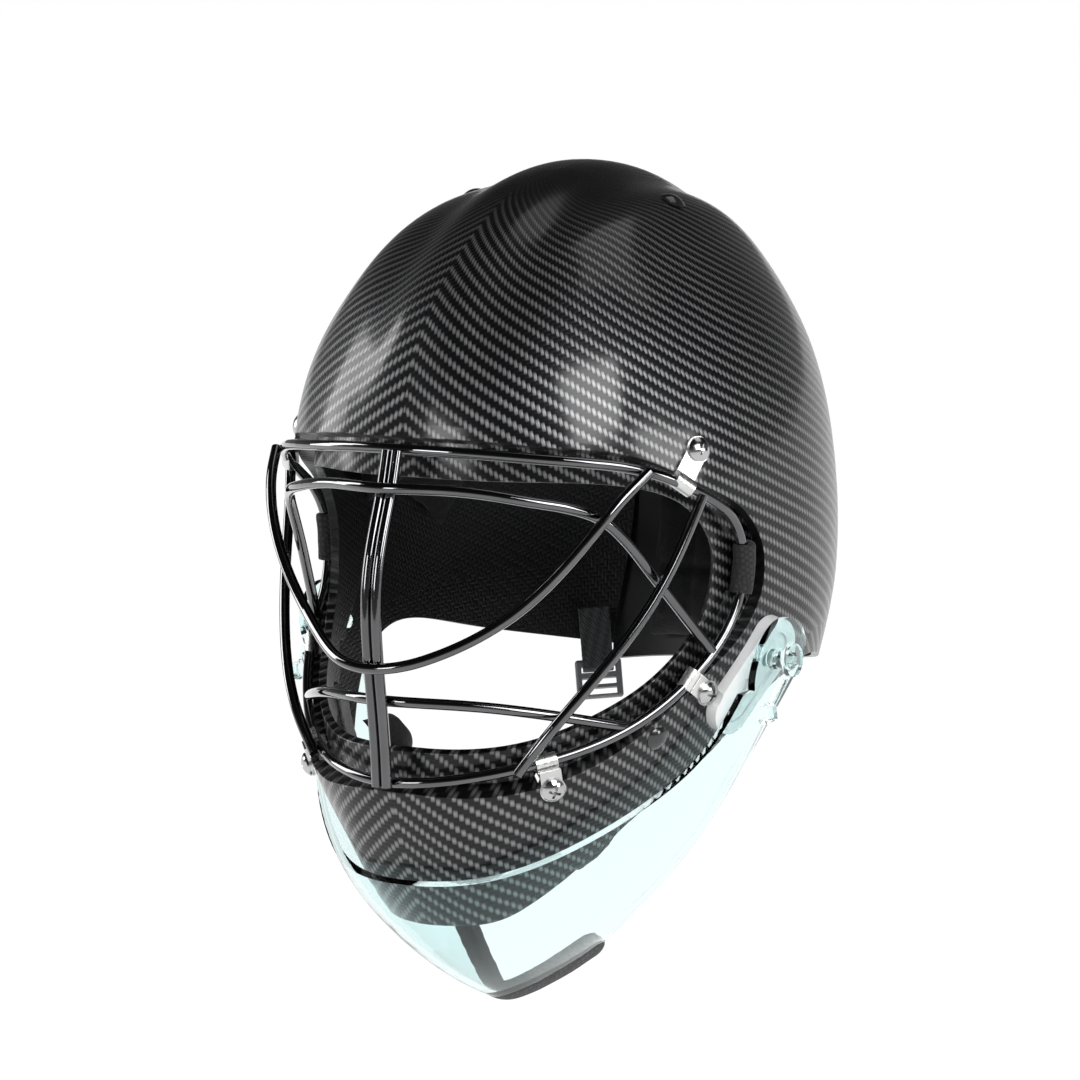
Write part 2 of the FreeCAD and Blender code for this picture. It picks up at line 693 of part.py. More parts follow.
def make_fasteners():
    """Clip screws and nuts, crown and jaw studs with their inner washers, and their seats."""
    clip_seats = [seat(screw_at) for _, screw_at, _ in CLIPS]
    screws = [pan_screw(f, n, 0.2 + CLIP_T, 9.0) for f, n in clip_seats]
    nuts = [hex_nut(f, n, SHELL_T + 0.15) for f, n in clip_seats]
    crown, jaw = seat(V(48, 25, 140)), seat(V(84, -70.5, -52))
    studs = {"crown_studs": dome_stud(*crown, 0.1, 5.2), "jaw_studs": dome_stud(*jaw, 0.1, 4.8)}
    washers = [washer(f, n, SHELL_T + 0.15, 6.0, 1.2) for f, n in (crown, jaw)]
    groups = {
        "clip_screws": Part.makeCompound(screws + [mirror(s) for s in screws]),
        "clip_nuts": Part.makeCompound(nuts + [mirror(s) for s in nuts]),
        "stud_washers": Part.makeCompound(washers + [mirror(s) for s in washers]),
    }
    for name, stud in studs.items():
        groups[name] = Part.makeCompound([stud, mirror(stud)])
    return groups, clip_seats, [crown, jaw]


def make_pads():
    """Forehead, crown, side, jaw and rear cushions inside the shell."""
    side = cushion((82, 124), (0.50, 0.80), 5.2, 25.0)
    jaw = cushion((-22, 10), (0.62, 0.88), 13.0, 25.0)
    temple = cushion((60, 78), (0.36, 0.54), 5.2, 20.0).cut(aperture(LIP, 12.0))
    return {
        "forehead_pad": cushion((60, 76), (-0.33, 0.33), 5.2, 21.0),
        "crown_pad": cushion((79, 112), (-0.42, 0.42), 5.2, 22.0),
        "rear_pad": cushion((116, 134), (-0.40, 0.40), 5.2, 26.0),
        "side_pad_left": side,
        "side_pad_right": mirror(side),
        "temple_pad_left": temple,
        "temple_pad_right": mirror(temple),
        "jaw_pad_left": jaw,
        "jaw_pad_right": mirror(jaw),
    }


def make_back_plate():
    """Outer rear plate over the shell cut-out, its foam and its two hinge screws."""
    thetas = steps(math.radians(130), math.radians(177), 13)
    net = skin_net(thetas, steps(-0.33, 0.33, 11), False)
    plate = slab(sunk(net, -3.5), sunk(net, -0.5))
    foam = cushion((140, 175), (-0.22, 0.22), 3.6, 24.0)
    hinge = seat(V(30, 126, 52))
    screw = pan_screw(hinge[0], hinge[1], 3.6, 7.4)
    return plate, foam, screw, hinge


def main():
    os.makedirs("parts", exist_ok=True)
    net = skin_net([math.radians(a) for a in steps(-34, 192, 31)], steps(-1, 1, 27))
    core = slab(sunk(net, -0.15), sunk(net, 16.0))
    shell = make_shell(net)
    nodes = make_cage()
    rim = nodes["cage_rim_wire"]
    groups, clip_seats, stud_seats = make_fasteners()
    notches = []
    for name, screw_at, wire_at in CLIPS:
        clip, room = j_clip(screw_at, wire_at, rim)
        notches += [room, mirror(room)]
        nodes["clip_" + name + "_left"] = clip
        nodes["clip_" + name + "_right"] = mirror(clip)
    sleeve = make_sleeve(rim)
    nodes.update({"sleeve_left": sleeve, "sleeve_right": mirror(sleeve)})
    nodes.update(groups)
    nodes.update(make_pads())
    plate, foam, screw, hinge = make_back_plate()
    mount = make_mount_plate(core, clip_seats[1])
    guard = make_guard()
    peg_left, latch, buckle, tab = make_peg(), make_latch(), make_buckle(), make_buckle_tab()
    strap = make_chin_strap()
    nodes.update({
        "back_plate": drill(plate, [hinge, (flip(hinge[0]), flip(hinge[1]))], SHANK_R + 0.3),
        "back_pad": foam,
        "back_plate_screws": Part.makeCompound([screw, mirror(screw)]),
        "mount_plate_left": mount, "mount_plate_right": mirror(mount),
        "throat_guard": guard, "guard_edging": make_edging(guard),
        "guard_peg_left": peg_left, "guard_peg_right": mirror(peg_left),
        "guard_latch_left": latch, "guard_latch_right": mirror(latch),
        "chin_cup": make_chin_cup(),
        "chin_strap_left": strap, "chin_strap_right": mirror(strap),
        "buckle_left": buckle, "buckle_right": mirror(buckle),
        "buckle_tab_left": tab, "buckle_tab_right": mirror(tab),
    })
    holes = [(s, SHANK_R + 0.25) for s in clip_seats + [hinge]] + [(s, 2.6) for s in stud_seats]
    for (foot, normal), radius in holes:
        shell = drill(shell, [(foot, normal), (flip(foot), flip(normal))], radius)
    pockets = [peg(s[0], s[1] * -1, 4.6, 25, SHELL_T) for s in clip_seats]
    pockets += [peg(s[0], s[1] * -1, 6.5, 25, SHELL_T) for s in stud_seats]
    pegs = Part.makeCylinder(3.3, 300, V(-150, PIVOT.y, PIVOT.z), V(1, 0, 0))
    nodes["shell"] = shell.cut(notches + pockets + [mirror(p) for p in pockets] + [pegs])
    for name, shape in nodes.items():
        export(name, shape)
        print(name, shape.isValid(), len(shape.Solids), round(shape.Volume))


if __name__ == "__main__":
    main()
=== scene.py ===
import logging
import math
from dataclasses import dataclass, field
from enum import Enum
from typing import Callable, Sequence

import bmesh
import bpy
import numpy as np
from mathutils import Matrix, Vector, noise


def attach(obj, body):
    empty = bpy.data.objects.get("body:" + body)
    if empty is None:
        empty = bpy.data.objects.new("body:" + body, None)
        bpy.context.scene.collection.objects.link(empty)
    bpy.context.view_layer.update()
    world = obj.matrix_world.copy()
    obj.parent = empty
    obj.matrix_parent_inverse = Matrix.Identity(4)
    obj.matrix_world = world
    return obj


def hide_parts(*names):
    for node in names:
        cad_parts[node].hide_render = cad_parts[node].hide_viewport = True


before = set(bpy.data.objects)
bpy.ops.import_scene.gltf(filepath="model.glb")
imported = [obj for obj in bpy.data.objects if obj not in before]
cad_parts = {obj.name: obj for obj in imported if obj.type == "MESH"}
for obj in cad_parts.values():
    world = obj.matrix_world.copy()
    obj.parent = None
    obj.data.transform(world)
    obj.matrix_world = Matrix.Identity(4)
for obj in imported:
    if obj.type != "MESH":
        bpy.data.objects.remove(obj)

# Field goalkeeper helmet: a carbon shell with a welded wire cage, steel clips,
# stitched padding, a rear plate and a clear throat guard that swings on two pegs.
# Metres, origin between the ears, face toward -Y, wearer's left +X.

log = logging.getLogger("helmet")
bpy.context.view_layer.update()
Colour = tuple[float, float, float]
Term = "bpy.types.NodeSocket | float"


class Slot(Enum):
    """Material slots of the record, one for each finish on the helmet."""

    SHELL = "carbon_shell"
    WIRE = "cage_steel"
    CLIP = "clip_steel"
    SCREW = "screw_steel"
    STUD = "black_stud"
    FOAM = "foam"
    SLEEVE = "sleeve_foam"
    PLATE = "plate_plastic"
    MOUNT = "grey_plastic"
    SHEET = "clear_sheet"
    EDGING = "edging"
    MOULDING = "clear_moulding"
    WEBBING = "webbing"
    CUP = "cup"
    BUCKLE = "buckle_plastic"


class Body(Enum):
    """Rigid bodies of the frame."""

    HELMET = "helmet"
    GUARD = "throat_guard"
    HARNESS = "chin_harness"


# ---- how the cloth is laid on the shell, metres ---------------------------------------
WEAVE_CENTRE_Y = 0.012    # fore-aft place of the upright line the cloth is laid round
WEAVE_GIRTH_R = 0.112     # turns an angle round the shell into a length of cloth
WEAVE_DOME_R = 0.118      # turns an angle up the dome into a length of cloth
WEAVE_DOME_Z = 0.015      # height where the shell starts to close
WEAVE_SEAM_Z = -0.031     # height of the guard pegs, where the cloth has its seam
WEAVE_REPEAT = 4.0        # tows before the twill repeats
WEAVE_FLOAT = 2.0         # tows that one tow passes over

# ---- shader wiring ---------------------------------------------------------------
class Graph:
    """Shorthand for placing and wiring nodes in one shader tree."""

    def __init__(self, tree: bpy.types.NodeTree) -> None:
        """Keep the tree that the nodes go into."""
        self.tree = tree

    def node(self, kind: str, **settings: object) -> bpy.types.Node:
        """Add one node.

        Args:
            kind: Blender's type name after "ShaderNode".
            settings: attributes to set on the node.

        Returns:
            The new node.
        """
        made = self.tree.nodes.new("ShaderNode" + kind)
        for name, value in settings.items():
            setattr(made, name, value)
        return made

    def feed(self, socket: bpy.types.NodeSocket, value: Term) -> None:
        """Link a socket into another one, or set a plain value on it."""
        if isinstance(value, bpy.types.NodeSocket):
            self.tree.links.new(value, socket)
        else:
            socket.default_value = value

    def math(self, operation: str, *terms: Term) -> bpy.types.NodeSocket:
        """Result of a math node on up to three terms."""
        made = self.node("Math", operation=operation)
        for socket, term in zip(made.inputs, terms):
            self.feed(socket, term)
        return made.outputs[0]

    def remap(self, value: Term, low: float, high: float, to: Sequence[float]) -> bpy.types.NodeSocket:
        """Value carried from low..high to a new range, and clamped there."""
        made = self.node("MapRange")
        for name, term in zip(("Value", "From Min", "From Max", "To Min", "To Max"), (value, low, high, *to)):
            self.feed(made.inputs[name], term)
        return made.outputs["Result"]

    def blend(self, factor: Term, first: Term, second: Term) -> bpy.types.NodeSocket:
        """Colour between two colours."""
        made = self.node("Mix", data_type="RGBA")
        self.feed(made.inputs[0], factor)
        for socket, term in ((made.inputs[6], first), (made.inputs[7], second)):
            self.feed(socket, (*term, 1.0) if isinstance(term, tuple) else term)
        return made.outputs[2]

    def place(self) -> bpy.types.NodeSocket:
        """Position on the piece, in its own frame."""
        return self.node("TexCoord").outputs["Object"]

    def noise(self, scale: float, detail: float = 2.0, rough: float = 0.5,
              at: bpy.types.NodeSocket | None = None) -> bpy.types.NodeSocket:
        """Smooth noise value at a position."""
        made = self.node("TexNoise")
        self.feed(made.inputs["Vector"], at or self.place())
        made.inputs["Scale"].default_value = scale
        made.inputs["Detail"].default_value = detail
        made.inputs["Roughness"].default_value = rough
        return made.outputs[0]

    def bump(self, height: Term, distance: float, strength: float = 1.0,
             normal: bpy.types.NodeSocket | None = None) -> bpy.types.NodeSocket:
        """Normal tilted by a height."""
        made = self.node("Bump")
        made.inputs["Strength"].default_value = strength
        made.inputs["Distance"].default_value = distance
        self.feed(made.inputs["Height"], height)
        if normal is not None:
            self.feed(made.inputs["Normal"], normal)
        return made.outputs[0]


class Effect:
    """A shared shader node group, built once and placed with its own values."""

    made: dict[str, bpy.types.NodeTree] = {}

    def __init__(self, name: str, inputs: dict[str, float], outputs: Sequence[str],
                 build: Callable[[Graph, dict], dict]) -> None:
        """Describe the group.

        Args:
            name: name of the group.
            inputs: input names with their usual values.
            outputs: names of the value outputs.
            build: wires the group and returns a socket for each output.
        """
        self.name, self.inputs, self.outputs, self.build = name, inputs, outputs, build

    def tree(self) -> bpy.types.NodeTree:
        """The node tree, built on first use."""
        if self.name in Effect.made:
            return Effect.made[self.name]
        tree = bpy.data.node_groups.new(self.name, "ShaderNodeTree")
        for name, value in self.inputs.items():
            socket = tree.interface.new_socket(name=name, in_out="INPUT", socket_type="NodeSocketFloat")
            socket.default_value = value
        for name in self.outputs:
            tree.interface.new_socket(name=name, in_out="OUTPUT", socket_type="NodeSocketFloat")
        entry, leave = tree.nodes.new("NodeGroupInput"), tree.nodes.new("NodeGroupOutput")
        results = self.build(Graph(tree), {name: entry.outputs[name] for name in self.inputs})
        for name, socket in results.items():
            tree.links.new(socket, leave.inputs[name])
        Effect.made[self.name] = tree
        return tree

    def put(self, graph: Graph, **values: float) -> dict[str, bpy.types.NodeSocket]:
        """Place the group in a material.

        Args:
            graph: the material's graph.
            values: input values, with underscores for spaces.

        Returns:
            The output sockets by name.
        """
        made = graph.node("Group", node_tree=self.tree())
        for name, value in values.items():
            made.inputs[name.replace("_", " ").capitalize()].default_value = value
        return {socket.name: socket for socket in made.outputs}


def wire_twill(g: Graph, given: dict) -> dict:
    """Two-by-two twill laid round the shell, mirrored about its middle and turned above a seam.

    Args:
        g: graph of the group.
        given: input sockets.

    Returns:
        Upright mask, height, fibre and crown fade sockets; the crown fade dims the tows' painted highlight
        toward the top.
    """
    split = g.node("SeparateXYZ")
    g.feed(split.inputs[0], g.place())
    x, z = g.math("ABSOLUTE", split.outputs[0]), split.outputs[2]
    y = g.math("SUBTRACT", WEAVE_CENTRE_Y, split.outputs[1])
    reach = g.math("SQRT", g.math("ADD", g.math("MULTIPLY", x, x), g.math("MULTIPLY", y, y)))
    along = g.math("MULTIPLY", g.math("ARCTAN2", x, y), WEAVE_GIRTH_R)
    rise = g.math("MAXIMUM", g.math("SUBTRACT", z, WEAVE_DOME_Z), 0.0)
    up = g.math("MULTIPLY_ADD", g.math("ARCTAN2", rise, reach), WEAVE_DOME_R,
                g.math("MINIMUM", z, WEAVE_DOME_Z))
    dome = g.math("MULTIPLY", g.math("GREATER_THAN", z, WEAVE_SEAM_Z), given["Dome turn"])
    cosine, sine = g.math("COSINE", dome), g.math("SINE", dome)
    along, up = (g.math("MULTIPLY_ADD", up, sine, g.math("MULTIPLY", along, cosine)),
                 g.math("SUBTRACT", g.math("MULTIPLY", up, cosine), g.math("MULTIPLY", along, sine)))
    sway = g.noise(14.0, 1.0)
    across = g.math("DIVIDE", g.math("MULTIPLY_ADD", sway, 0.0035, along), given["Tow width"])
    upward = g.math("DIVIDE", g.math("MULTIPLY_ADD", sway, -0.0025, up), given["Tow width"])
    column, row = g.math("FLOOR", across), g.math("FLOOR", upward)
    u, v = g.math("FRACT", across), g.math("FRACT", upward)
    step = g.math("FLOORED_MODULO", g.math("ADD", column, row), WEAVE_REPEAT)
    upright = g.math("LESS_THAN", step, WEAVE_FLOAT - 0.5)

    def hill(value: Term, power: float) -> bpy.types.NodeSocket:
        """One in the middle of nought to one, falling to nought at both ends."""
        out = g.math("ABSOLUTE", g.math("MULTIPLY_ADD", value, 2.0, -1.0))
        return g.math("SUBTRACT", 1.0, g.math("POWER", out, power))

    run_up = g.math("FLOORED_MODULO", g.math("ADD", upward, column), WEAVE_REPEAT)
    run_up = g.math("DIVIDE", run_up, WEAVE_FLOAT)
    run_on = g.math("ADD", g.math("ADD", across, row), WEAVE_FLOAT)
    run_on = g.math("DIVIDE", g.math("FLOORED_MODULO", run_on, WEAVE_REPEAT), WEAVE_FLOAT)
    tall = g.math("MULTIPLY", hill(u, 4.0), g.math("MULTIPLY_ADD", hill(run_up, 2.0), 0.7, 0.3))
    flat = g.math("MULTIPLY", hill(v, 4.0), g.math("MULTIPLY_ADD", hill(run_on, 2.0), 0.7, 0.3))
    height = g.math("MULTIPLY_ADD", g.math("SUBTRACT", tall, flat), upright, flat)
    thread = g.math("MULTIPLY_ADD", g.math("SUBTRACT", across, upward), upright, upward)
    strand = g.node("TexNoise", noise_dimensions="1D")
    g.feed(strand.inputs["W"], thread)
    strand.inputs["Scale"].default_value = 9.0
    strand.inputs["Detail"].default_value = 1.0
    # Crown fade: weakens the tows' painted highlight toward the top of the dome.
    crown = g.remap(reach, 0.030, 0.070, (0.12, 1.0))
    return {"Upright": upright, "Height": height, "Fibre": strand.outputs[0], "Crown": crown}


def wire_inward(g: Graph, given: dict) -> dict:
    """Mask of the faces that look toward the wearer's head."""
    middle = g.node("CombineXYZ")
    for socket, value in zip(middle.inputs, (0.0, 0.01, 0.0)):
        socket.default_value = value
    arm = g.node("VectorMath", operation="SUBTRACT")
    g.feed(arm.inputs[0], g.place())
    g.feed(arm.inputs[1], middle.outputs[0])
    unit = g.node("VectorMath", operation="NORMALIZE")
    g.feed(unit.inputs[0], arm.outputs[0])
    facing = g.node("VectorMath", operation="DOT_PRODUCT")
    g.feed(facing.inputs[0], unit.outputs[0])
    g.feed(facing.inputs[1], g.node("NewGeometry").outputs["Normal"])
    return {"Inside": g.remap(facing.outputs["Value"], given["Reach"], -0.35, (0.0, 1.0))}


def wire_grain(g: Graph, given: dict) -> dict:
    """Fine irregular grain with slower patches over it."""
    fine = g.node("TexNoise")
    g.feed(fine.inputs["Vector"], g.place())
    g.feed(fine.inputs["Scale"], given["Scale"])
    fine.inputs["Detail"].default_value = 3.0
    slow = g.noise(38.0, 2.0)
    return {"Grain": fine.outputs[0], "Patch": slow}


def wire_scuff(g: Graph, given: dict) -> dict:
    """Sparse hairline scuffs and smudges left by handling."""
    stretch = g.node("Mapping")
    g.feed(stretch.inputs["Vector"], g.place())
    stretch.inputs["Rotation"].default_value = (0.4, 0.9, 0.3)
    stretch.inputs["Scale"].default_value = (1.0, 9.0, 1.6)
    lines = g.noise(160.0, 2.0, 0.6, stretch.outputs[0])
    hair = g.remap(lines, 0.62, 0.72, (0.0, 1.0))
    smudge = g.remap(g.noise(26.0, 3.0), 0.45, 0.75, (0.0, 1.0))
    return {"Hair": g.math("MULTIPLY", hair, given["Amount"]),
            "Smudge": g.math("MULTIPLY", smudge, given["Amount"])}


def wire_cloth(g: Graph, given: dict) -> dict:
    """Plain woven cloth seen on every side of a piece."""
    scaled = g.node("VectorMath", operation="SCALE")
    g.feed(scaled.inputs[0], g.place())
    g.feed(scaled.inputs["Scale"], given["Threads"])
    split = g.node("SeparateXYZ")
    g.feed(split.inputs[0], scaled.outputs[0])
    waves = [g.math("SINE", socket) for socket in split.outputs]
    weave = g.math("ADD", g.math("MULTIPLY", waves[0], waves[1]), g.math("MULTIPLY", waves[1], waves[2]))
    weave = g.math("ADD", weave, g.math("MULTIPLY", waves[0], waves[2]))
    return {"Weave": g.remap(weave, -1.2, 1.2, (0.0, 1.0)), "Fluff": g.noise(900.0, 2.0)}


def wire_ribs(g: Graph, given: dict) -> dict:
    """Herringbone ribs of flat webbing whose width runs fore and aft."""
    split = g.node("SeparateXYZ")
    g.feed(split.inputs[0], g.place())
    side = g.math("MULTIPLY", g.math("ABSOLUTE", split.outputs[0]), 0.55)
    run = g.math("MULTIPLY_ADD", split.outputs[2], -0.84, side)
    across = g.math("PINGPONG", g.math("MULTIPLY", split.outputs[1], given["Ribs"]), 2.0)
    rib = g.math("SINE", g.math("MULTIPLY_ADD", run, given["Ribs"], g.math("MULTIPLY", across, 2.2)))
    return {"Rib": g.math("MULTIPLY_ADD", rib, 0.5, 0.5)}


TWILL = Effect("Draped twill", {"Tow width": 0.00165, "Dome turn": 0.25},
               ("Upright", "Height", "Fibre", "Crown"), wire_twill)
INWARD = Effect("Facing inward", {"Reach": -0.15}, ("Inside",), wire_inward)
GRAIN = Effect("Fine grain", {"Scale": 900.0}, ("Grain", "Patch"), wire_grain)
SCUFF = Effect("Handling scuffs", {"Amount": 1.0}, ("Hair", "Smudge"), wire_scuff)
CLOTH = Effect("Plain cloth", {"Threads": 5200.0}, ("Weave", "Fluff"), wire_cloth)
RIBS = Effect("Webbing ribs", {"Ribs": 3400.0}, ("Rib",), wire_ribs)


# ---- finishes ----------------------------------------------------------------------
@dataclass(frozen=True)
class Finish:
    """Base of every finish: one material made on first use."""

    name: str
    slot: Slot

    def material(self) -> bpy.types.Material:
        """The finished material, built once."""
        found = bpy.data.materials.get(self.name)
        if found is not None:
            return found
        made = bpy.data.materials.new(self.name)
        made.use_nodes = True
        shader = made.node_tree.nodes["Principled BSDF"]
        self.wire(Graph(made.node_tree), shader)
        return made

    def wire(self, g: Graph, shader: bpy.types.Node) -> None:
        """Set the shader up; each finish does this its own way."""
        raise NotImplementedError

    def dress(self, piece: bpy.types.Object) -> bpy.types.Object:
        """Put the finish on a new piece or a carried-over node."""
        piece.data.materials.clear()
        piece.data.materials.append(self.material())
        for face in piece.data.polygons:
            face.material_index = 0
        return piece


@dataclass(frozen=True)
class CarbonFinish(Finish):
    """Glossy lacquered carbon twill."""

    tow: float = 0.00165
    # Colour of the upright tows where they catch the lights: a painted highlight.
    bright: Colour = (0.29, 0.29, 0.295)
    dark: Colour = (0.004, 0.004, 0.005)
    strand: float = 0.35

    def wire(self, g: Graph, shader: bpy.types.Node) -> None:
        """Upright tows carry a painted highlight in their colour and lying tows stay dark, under one clear
        coat.
        """
        twill, scuff = TWILL.put(g, tow_width=self.tow), SCUFF.put(g, amount=0.35)
        inside = INWARD.put(g, reach=-0.15)["Inside"]
        # The upright tows' bright colour is a painted highlight: strongest at the middle of each float,
        # dimmed toward the crown and kept off faces that look inward.
        sheen = g.math("MULTIPLY", g.math("POWER", twill["Height"], 1.6), twill["Crown"])
        sheen = g.math("MULTIPLY", sheen, g.remap(twill["Fibre"], 0.3, 0.7, (0.6, 1.0)))
        painted_highlight = g.math("MULTIPLY", g.math("MULTIPLY", twill["Upright"], sheen), g.math("SUBTRACT", 1.0, inside))
        g.feed(shader.inputs["Base Color"], g.blend(painted_highlight, self.dark, self.bright))
        g.feed(shader.inputs["Roughness"], g.remap(twill["Fibre"], 0.3, 0.7, (0.38, 0.52)))
        soft = g.node("Bevel", samples=4)
        soft.inputs["Radius"].default_value = 0.0007
        height = g.math("MULTIPLY_ADD", twill["Fibre"], self.strand, twill["Height"])
        g.feed(shader.inputs["Normal"], g.bump(height, 0.00016, 0.8, soft.outputs[0]))
        coat = g.remap(scuff["Hair"], 0.0, 1.0, (0.6, 0.3))
        coat = g.math("MULTIPLY", coat, g.math("SUBTRACT", 1.0, inside))
        g.feed(shader.inputs["Coat Weight"], coat)
        g.feed(shader.inputs["Coat Normal"], soft.outputs[0])
        g.feed(shader.inputs["Metallic"], g.math("MULTIPLY_ADD", inside, -0.8, 0.82))
        shader.inputs["Coat Roughness"].default_value = 0.16
        shader.inputs["Coat IOR"].default_value = 1.45


@dataclass(frozen=True)
class MetalFinish(Finish):
    """Polished or brushed metal."""

    colour: Colour = (0.5, 0.5, 0.52)
    rough: tuple[float, float] = (0.06, 0.16)
    grain_scale: float = 260.0
    dent: float = 0.00002
    coat: float = 0.0

    def wire(self, g: Graph, shader: bpy.types.Node) -> None:
        """Metal whose polish varies with grain, smudges and hairlines."""
        grain, scuff = GRAIN.put(g, scale=self.grain_scale), SCUFF.put(g, amount=0.8)
        shade = tuple(0.72 * c for c in self.colour)
        patch = g.remap(grain["Patch"], 0.35, 0.65, (0.0, 1.0))
        g.feed(shader.inputs["Base Color"], g.blend(patch, self.colour, shade))
        polish = g.remap(grain["Grain"], 0.35, 0.65, self.rough)
        g.feed(shader.inputs["Roughness"], g.math("MULTIPLY_ADD", scuff["Smudge"], 0.06, polish))
        g.feed(shader.inputs["Normal"], g.bump(g.math("ADD", grain["Grain"], scuff["Hair"]), self.dent, 0.5))
        shader.inputs["Metallic"].default_value = 1.0
        shader.inputs["Coat Weight"].default_value = self.coat


@dataclass(frozen=True)
class PlasticFinish(Finish):
    """Moulded plastic with a fine eggshell texture."""

    colour: Colour = (0.02, 0.02, 0.02)
    rough: tuple[float, float] = (0.35, 0.5)
    grain_scale: float = 1400.0
    relief: float = 0.00006
    coat: float = 0.0

    def wire(self, g: Graph, shader: bpy.types.Node) -> None:
        """Even colour broken by a moulded grain, slow patches and scuffs."""
        grain, scuff = GRAIN.put(g, scale=self.grain_scale), SCUFF.put(g, amount=0.6)
        worn = tuple(min(1.0, c * 1.25 + 0.006) for c in self.colour)
        wear = g.math("MAXIMUM", g.remap(grain["Patch"], 0.42, 0.7, (0.0, 0.5)), scuff["Hair"])
        g.feed(shader.inputs["Base Color"], g.blend(wear, self.colour, worn))
        g.feed(shader.inputs["Roughness"], g.remap(grain["Patch"], 0.3, 0.7, self.rough))
        g.feed(shader.inputs["Normal"], g.bump(grain["Grain"], self.relief, 0.6))
        shader.inputs["Coat Weight"].default_value = self.coat
        shader.inputs["Coat Roughness"].default_value = 0.08


@dataclass(frozen=True)
class ClearFinish(Finish):
    """Clear moulded plastic with the faintest cool tint."""

    tint: Colour = (0.85, 0.985, 0.985)
    rough: float = 0.012

    def wire(self, g: Graph, shader: bpy.types.Node) -> None:
        """See-through body with hairline scuffs in its surface."""
        scuff = SCUFF.put(g, amount=0.6)
        g.feed(shader.inputs["Roughness"], g.math("MULTIPLY_ADD", scuff["Hair"], 0.12, self.rough))
        g.feed(shader.inputs["Normal"], g.bump(g.noise(32.0, 1.0), 0.00035, 0.25))
        shader.inputs["Base Color"].default_value = (*self.tint, 1.0)
        shader.inputs["Transmission Weight"].default_value = 1.0
        shader.inputs["IOR"].default_value = 1.28


@dataclass(frozen=True)
class ClothFinish(Finish):
    """Woven lining or foam skin."""

    # These near-black defaults are partly the lining's own black and partly painted shade of the shell's
    # interior.
    colour: Colour = (0.004, 0.004, 0.004)
    lift: Colour = (0.013, 0.013, 0.014)
    threads: float = 5200.0
    relief: float = 0.00012

    def wire(self, g: Graph, shader: bpy.types.Node) -> None:
        """Threads, fluff and slow fading over a matt body with a soft sheen."""
        cloth, grain = CLOTH.put(g, threads=self.threads), GRAIN.put(g, scale=420.0)
        mix = g.math("MULTIPLY", cloth["Weave"], g.remap(grain["Patch"], 0.3, 0.7, (0.35, 1.0)))
        g.feed(shader.inputs["Base Color"], g.blend(mix, self.colour, self.lift))
        g.feed(shader.inputs["Roughness"], g.remap(cloth["Fluff"], 0.3, 0.7, (0.78, 0.96)))
        fuzz = g.math("MULTIPLY_ADD", cloth["Fluff"], 0.6, cloth["Weave"])
        g.feed(shader.inputs["Normal"], g.bump(fuzz, self.relief, 0.7))
        shader.inputs["Sheen Weight"].default_value = 0.08
        shader.inputs["Sheen Roughness"].default_value = 0.5
        shader.inputs["Specular IOR Level"].default_value = 0.25


@dataclass(frozen=True)
class WebbingFinish(Finish):
    """Flat woven strap."""

    colour: Colour = (0.012, 0.012, 0.013)
    lift: Colour = (0.05, 0.05, 0.054)

    def wire(self, g: Graph, shader: bpy.types.Node) -> None:
        """Herringbone ribs with a dull thread gloss."""
        ribs, grain = RIBS.put(g, ribs=3400.0), GRAIN.put(g, scale=700.0)
        g.feed(shader.inputs["Base Color"], g.blend(ribs["Rib"], self.colour, self.lift))
        g.feed(shader.inputs["Roughness"], g.remap(grain["Grain"], 0.3, 0.7, (0.55, 0.8)))
        g.feed(shader.inputs["Normal"], g.bump(ribs["Rib"], 0.00022, 0.8))
        shader.inputs["Sheen Weight"].default_value = 0.2


CARBON = CarbonFinish("lacquered carbon twill", Slot.SHELL)
BLACK_CHROME = MetalFinish("black chrome wire", Slot.WIRE, (0.115, 0.115, 0.12), (0.05, 0.10), coat=1.0)
CLIP_STEEL = MetalFinish("satin clip steel", Slot.CLIP, (0.80, 0.80, 0.79), (0.25, 0.38), 900.0, 0.00005)
SCREW_STEEL = MetalFinish("bright screw steel", Slot.SCREW, (0.60, 0.60, 0.60), (0.10, 0.22), 500.0)
STUD_BLACK = PlasticFinish("gloss black stud", Slot.STUD, (0.010, 0.010, 0.010), (0.12, 0.22),
                           500.0, 0.00001, 0.6)
LINING = ClothFinish("padding lining", Slot.FOAM)
SLEEVE_FOAM = ClothFinish("sleeve foam", Slot.SLEEVE, (0.012, 0.012, 0.012), (0.035, 0.035, 0.036),
                          2600.0, 0.0002)
EDGING_FOAM = ClothFinish("grey edging foam", Slot.EDGING, (0.045, 0.047, 0.047),
                          (0.085, 0.088, 0.088), 2400.0, 0.0002)
PLATE_BLACK = PlasticFinish("rear plate plastic", Slot.PLATE, (0.016, 0.016, 0.017), (0.36, 0.52))
MOUNT_GREY = PlasticFinish("grey mount plastic", Slot.MOUNT, (0.66, 0.66, 0.66), (0.30, 0.42),
                           1700.0, 0.00003)
SHEET_CLEAR = ClearFinish("clear sheet", Slot.SHEET)
MOULDING_CLEAR = ClearFinish("clear moulding", Slot.MOULDING, (0.90, 0.985, 0.985), 0.03)
STRAP = WebbingFinish("black webbing", Slot.WEBBING)
CUP_BLACK = PlasticFinish("chin cup moulding", Slot.CUP, (0.02, 0.02, 0.021), (0.45, 0.6), 900.0, 0.0001)
BUCKLE_GREY = PlasticFinish("buckle plastic", Slot.BUCKLE, (0.16, 0.16, 0.165), (0.35, 0.5))


# ---- mesh helpers --------------------------------------------------------------------
def link(name: str, mesh: bpy.types.Mesh) -> bpy.types.Object:
    """New object in the scene, smooth shaded."""
    made = bpy.data.objects.new(name, mesh)
    bpy.context.scene.collection.objects.link(made)
    mesh.shade_smooth()
    return made


